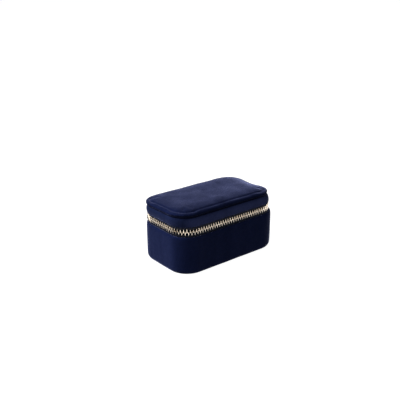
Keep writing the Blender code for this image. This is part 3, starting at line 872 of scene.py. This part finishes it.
def make_slider():
    """Two plates with lips and a post between them, which stand with the leaning zip, and the pull's loop."""
    low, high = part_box("slider_body")
    shift = ZIP_SHIFT * MM
    centre = (low + high) / 2 + Vector((shift, 0, 0))
    front, back = high.x + shift, low.x + shift
    outline = plate_outline(low, high)
    mesh = bmesh.new()
    for outer, direction in ((front, 1), (back, -1)):
        rings = []
        for share, depth in PLATE_STEPS:
            x = outer - direction * (1 - depth) * MM
            ring = [(x, centre.y + y * share, centre.z + z * share) for y, z in outline]
            rings.append([mesh.verts.new(point) for point in ring])
        joined(mesh, rings)
        for side in (-1, 1):
            start = len(mesh.verts)
            x, y = outer - direction * LIP_DEPTH, centre.y + LIP_OFFSET
            block(mesh, (x, y, centre.z + side * LIP_RISE), LIP_SIZE)
            mesh.verts.ensure_lookup_table()
            # A bevel reorders the vertices, so the second time these are the lower lip's again: it is
            # bevelled twice, and the upper lip stays sharp
            edges = {edge for v in mesh.verts[start:] for edge in v.link_edges}
            bmesh.ops.bevel(mesh, geom=list(edges), offset=LIP_BEVEL, segments=2, profile=0.5, affect="EDGES")
    block(mesh, ((front + back) / 2, centre.y + POST_OFFSET, centre.z), POST_SIZE)
    body = new_piece("zip_slider", mesh, GOLD)
    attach(body, "slider")
    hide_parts("slider_body")

    low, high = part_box("slider_bridge")
    foot = low.x + shift - 0.3 * MM
    crown = high.x - 0.45 * MM  # not shifted, so that the pull's axis stays inside the loop
    half = (high.y - low.y) / 2 - 0.5 * MM
    bridge = bent_wire("slider_loop", arch(foot, crown, half, centre), LOOP_RADII, GOLD)
    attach(bridge, "slider")
    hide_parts("slider_bridge")


def arch(foot, crown, half, centre):
    """The bridge's middle line, from one foot to the other."""
    points = []
    for angle in np.linspace(0, 180, 25):
        a = math.radians(angle)
        squared = max(abs(math.cos(a)), abs(math.sin(a))) ** 0.6
        x = foot + (crown - foot) * math.sin(a) / squared
        points.append(Vector((x, centre.y + half * math.cos(a) / squared, centre.z)))
    return points


def bent_wire(name, route, radii, material):
    """A strip with an oval section, tall along Z, along a route that lies in a level plane."""
    mesh = bmesh.new()
    rings = []
    for i, point in enumerate(route):
        ahead = route[min(i + 1, len(route) - 1)] - route[max(i - 1, 0)]
        across = Vector((ahead.y, -ahead.x, 0)).normalized() * radii[1]
        up = Vector((0, 0, radii[0]))
        angles = np.linspace(0, 2 * math.pi, 13)[:-1]
        rings.append([mesh.verts.new(point + across * math.cos(a) + up * math.sin(a)) for a in angles])
    joined(mesh, rings)
    return new_piece(name, mesh, material)


PULL_HALF_FLAT, PULL_BEVEL = 0.28 * MM, 0.2 * MM


def make_pull():
    """A tapering tab with rounded edges and a long eye round the bridge."""
    low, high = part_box("pull_tab")
    shape = bpy.data.curves.new("pull", "CURVE")
    shape.dimensions = "2D"
    shape.fill_mode = "BOTH"
    shape.resolution_u = 6
    half = 0.5
    tip = (high.y - low.y) / MM - half
    side = [(-half, 1.7), (1.0, 2.15), (5.5, 1.75), (10.0, 1.95), (14.5, 2.35), (tip - 0.7, 1.7), (tip, 0.0)]
    edge = side + [(x, -y) for x, y in reversed(side[:-1])]
    eye_far = 4.1
    eye_side = [(half, 0.95), (2.4, 1.15), (eye_far - 0.3, 0.85), (eye_far, 0.0)]
    eye = eye_side + [(x, -y) for x, y in reversed(eye_side[:-1])]
    for points in (edge, eye):
        spline = shape.splines.new("BEZIER")
        spline.bezier_points.add(len(points) - 1)
        for point, (x, y) in zip(spline.bezier_points, points):
            point.co = (-x * MM, y * MM, 0)
            point.handle_left_type = point.handle_right_type = "AUTO"
        spline.use_cyclic_u = True
    shape.extrude = PULL_HALF_FLAT
    shape.bevel_depth = PULL_BEVEL
    shape.bevel_resolution = 2
    shape.offset = -PULL_BEVEL
    holder = bpy.data.objects.new("pull_shape", shape)
    bpy.context.scene.collection.objects.link(holder)
    graph = bpy.context.evaluated_depsgraph_get()
    data = bpy.data.meshes.new_from_object(holder.evaluated_get(graph))
    bpy.data.objects.remove(holder)
    middle = (low + high) / 2
    axis = Vector((middle.x, high.y - half * MM, middle.z))
    quarter = math.radians(90)
    upright = Matrix.Rotation(quarter, 4, "Z") @ Matrix.Rotation(quarter, 4, "X")
    data.transform(Matrix.Translation(axis) @ upright)
    pull = dressed("zip_pull", data, GOLD)
    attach(pull, "pull")
    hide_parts("pull_tab")


# Stitches


STITCH_LENGTH, STITCH_GAP, THREAD_RADIUS = 1.5 * MM, 0.7 * MM, 0.14 * MM
STITCH_RISE, STITCH_SINK = 0.16 * MM, 0.05 * MM
STITCH_INSET = 2.12 * MM
STITCH_BASE_HEIGHT, STITCH_LID_HEIGHT = 33.3 * MM, 40.7 * MM


def stitches(name, points, normals, body):
    """A row of lockstitches along the points, standing a little out of the cloth along the normals."""
    run = distances(points)
    mesh = bmesh.new()
    for start in np.arange(STITCH_GAP, run[-1] - STITCH_LENGTH, STITCH_LENGTH + STITCH_GAP):
        at = np.linspace(start, start + STITCH_LENGTH, 7)
        line = np.column_stack([np.interp(at, run, points[:, k]) for k in range(3)])
        out = np.column_stack([np.interp(at, run, normals[:, k]) for k in range(3)])
        arc = np.sin(np.linspace(0, math.pi, 7))
        line = line + out * (STITCH_RISE * arc - STITCH_SINK)[:, None]
        rings = []
        for i, p in enumerate(line):
            ahead = Vector(line[min(i + 1, 6)] - line[max(i - 1, 0)]).normalized()
            up = Vector(out[i]).normalized()
            side = ahead.cross(up)
            radius = THREAD_RADIUS * (0.45 + 0.55 * arc[i])
            spokes = [side * math.cos(a) + up * math.sin(a) for a in np.linspace(0, 2 * math.pi, 7)[:-1]]
            rings.append([mesh.verts.new(Vector(p) + spoke * radius) for spoke in spokes])
        joined(mesh, rings)
    row = new_piece(name, mesh, THREAD, lean=True)
    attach(row, body)


def make_stitches():
    where = stations(*TAPE_ENDS)
    face = np.column_stack([outward(where), np.zeros(len(where))])
    stitches("stitches_base", placed(where, STITCH_INSET, STITCH_BASE_HEIGHT), face, "base")
    stitches("stitches_lid", placed(where, STITCH_INSET, STITCH_LID_HEIGHT), face, "lid")


# Carried-over CAD nodes


def finish_boards():
    for node in ("base_wall_board", "base_bottom_board"):
        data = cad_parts[node].data
        data.materials.clear()
        data.materials.append(BOARD)


# Studio


FLOOR_REACH, FLOOR_DROP = 12, 0.02 * MM
ROOM_RADIUS, ROOM_HEIGHT = 4.5, 8
CARD_HEIGHT = 1 * MM


def make_studio():
    scene = bpy.context.scene
    scene.view_settings.view_transform = "Standard"
    world = bpy.data.worlds.new("studio")
    scene.world = world
    world.use_nodes = True
    background = world.node_tree.nodes["Background"]
    background.inputs["Color"].default_value = (0.95, 0.96, 1.0, 1)
    background.inputs["Strength"].default_value = 0.12

    mesh = bmesh.new()
    bmesh.ops.create_grid(mesh, x_segments=1, y_segments=1, size=FLOOR_REACH)
    floor = new_piece("studio_floor", mesh, floor_material())
    floor.location.z = -FLOOR_DROP
    floor.visible_diffuse = False

    # The room's white wall, which only the camera sees, so that it neither lights nor shades the case
    mesh = bmesh.new()
    bmesh.ops.create_cone(mesh, segments=48, radius1=ROOM_RADIUS, radius2=ROOM_RADIUS, depth=ROOM_HEIGHT)
    wall = new_piece("studio_wall", mesh, floor_material())
    wall.visible_diffuse = wall.visible_glossy = wall.visible_transmission = wall.visible_shadow = False

    reflector("studio_card", (0.10, 0.19), (-0.112, 0.062, CARD_HEIGHT), card_material())
    reflector("studio_glow", (0.11, 0.11), (-0.125, -0.095, CARD_HEIGHT), glow_material())

    for light in (
        key_light("back_left", (-0.75, 0.85, 0.65), (0, 0, 0.04), 0.8, 30, (1.0, 0.98, 0.96)),
        key_light("side_left", (-1.1, 0.1, 0.45), (0, 0, 0.03), 0.6, 2.6, (0.9, 0.94, 1.0)),
        key_light("front_top", (-0.35, -0.8, 1.0), (0, 0, 0.04), 0.5, 1.6, (0.85, 0.93, 1.0)),
    ):
        light.visible_glossy = False
    key_light("front_low", (-0.78, -0.82, 0.30), (0, 0, 0.037), 0.3, 2.2, (1.0, 0.95, 0.87))


def reflector(name, size, place, material):
    """A card that lies by the case and shows only in what mirrors it, such as the zip's metal."""
    mesh = bmesh.new()
    bmesh.ops.create_grid(mesh, x_segments=1, y_segments=1, size=0.5, matrix=Matrix.Diagonal((*size, 1, 1)))
    card = new_piece(name, mesh, material)
    card.location = place
    card.visible_camera = card.visible_diffuse = card.visible_shadow = False


def floor_material():
    made = Nodes("studio_white")
    grain = made.noise(3, detail=2)
    made.link(made.ramp(grain, (0.3, (0.28, 0.28, 0.28)), (0.7, (0.32, 0.32, 0.32))), "Base Color")
    made.set(Roughness=0.9, Specular_IOR_Level=0.1, Emission_Color=(1, 1, 1, 1), Emission_Strength=0.96)
    return made.material


def glow_material():
    made = Nodes("studio_warm_white")
    grain = made.noise(40, detail=2)
    made.link(made.ramp(grain, (0.3, (1.0, 0.90, 0.78)), (0.7, (1.0, 0.93, 0.83))), "Emission Color")
    made.set(Roughness=0.9, Emission_Strength=1.7)
    return made.material


def card_material():
    made = Nodes("studio_grey")
    grain = made.noise(40, detail=2)
    made.link(made.ramp(grain, (0.3, (0.10, 0.10, 0.10)), (0.7, (0.14, 0.14, 0.14))), "Base Color")
    made.set(Roughness=0.9, Specular_IOR_Level=0.1)
    return made.material


def key_light(name, place, target, size, power, colour):
    """A square area light turned to its target."""
    data = bpy.data.lights.new(name, "AREA")
    data.shape = "SQUARE"
    data.size = size
    data.energy = power
    data.color = colour
    light = bpy.data.objects.new(name, data)
    light.location = place
    light.rotation_mode = "QUATERNION"
    light.rotation_quaternion = (Vector(target) - Vector(place)).to_track_quat("-Z", "Y")
    bpy.context.scene.collection.objects.link(light)
    return light


LENS, SENSOR_WIDTH = 60.2352, 36  # mm
CAMERA_PLACE = (-0.33783, -0.40287, 0.25152)


def make_camera():
    """A level camera in front of the near corner, above the case."""
    data = bpy.data.cameras.new("photo_view")
    data.lens = LENS
    data.sensor_width = SENSOR_WIDTH
    camera = bpy.data.objects.new("photo_view", data)
    right = Vector((0.77638, -0.63027, 0))
    up = Vector((0.22977, 0.28303, 0.93118))
    back = Vector((-0.5869, -0.72295, 0.36455))
    turn = Matrix((right, up, back)).transposed().to_4x4()
    camera.matrix_world = Matrix.Translation(CAMERA_PLACE) @ turn
    bpy.context.scene.collection.objects.link(camera)
    bpy.context.scene.camera = camera


make_camera()
make_studio()
make_base()
make_nest()
make_lid()
make_pocket()
make_pocket_edge()
make_hinge()
make_zip()
make_stops()
make_slider()
make_pull()
make_stitches()
finish_boards()
